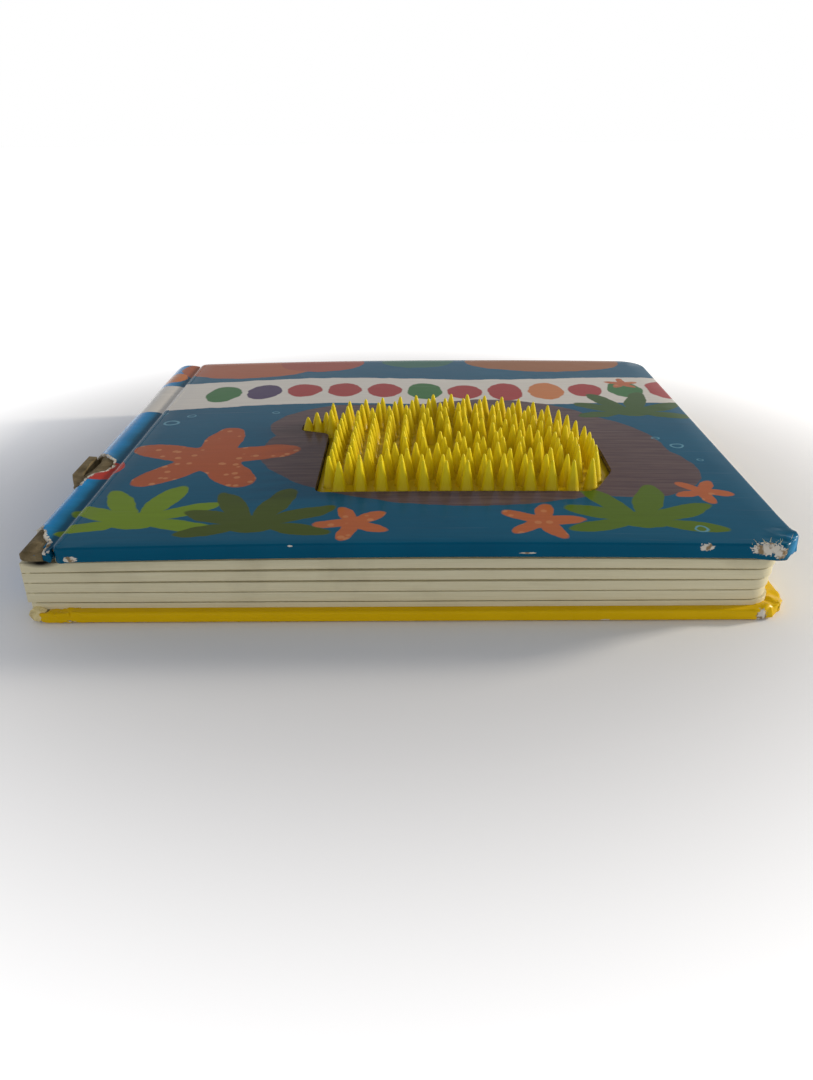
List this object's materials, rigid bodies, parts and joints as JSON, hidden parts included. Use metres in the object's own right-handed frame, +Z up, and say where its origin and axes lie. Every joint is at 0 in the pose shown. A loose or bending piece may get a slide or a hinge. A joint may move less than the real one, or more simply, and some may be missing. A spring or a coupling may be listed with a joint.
{
  "type": "board book",
  "caption": "Closed case-bound board book with rounded corners, hinged covers and a spiky soft touch patch in a window of the front cover.",
  "frame": {"origin": "bottom centre of the closed book's bounding box, on the surface that the back cover lies on", "axes": "+X from the spine to the fore-edge, +Y from the tail to the head, +Z up through the pages"},
  "size_m": [0.228, 0.2, 0.0353],
  "materials": {
    "greyboard": "raw grey-brown board",
    "page_board": "cream coated board",
    "front_print": "teal gloss-laminated print",
    "back_print": "yellow gloss-laminated print",
    "silicone": "soft yellow silicone, satin"
  },
  "bodies": {
    "back_cover": {"back_board": "greyboard", "back_wrap": "back_print", "back_liner": "page_board"},
    "book_block": {"page_block": "page_board", "spine_board": "greyboard", "spine_wrap": "front_print"},
    "front_cover": {"front_board": "greyboard", "front_wrap": "front_print", "front_liner": "page_board", "touch_patch": "silicone"}
  },
  "joints": [
    {"name": "back_hinge", "type": "hinge", "parent": "back_cover", "child": "book_block", "pos_m": [-0.1004, 0, 0], "axis": [0, -1, 0], "range_deg": [0, 180]},
    {"name": "front_hinge", "type": "hinge", "parent": "book_block", "child": "front_cover", "pos_m": [-0.1004, 0, 0.02455], "axis": [0, -1, 0], "range_deg": [0, 180]}
  ]
}
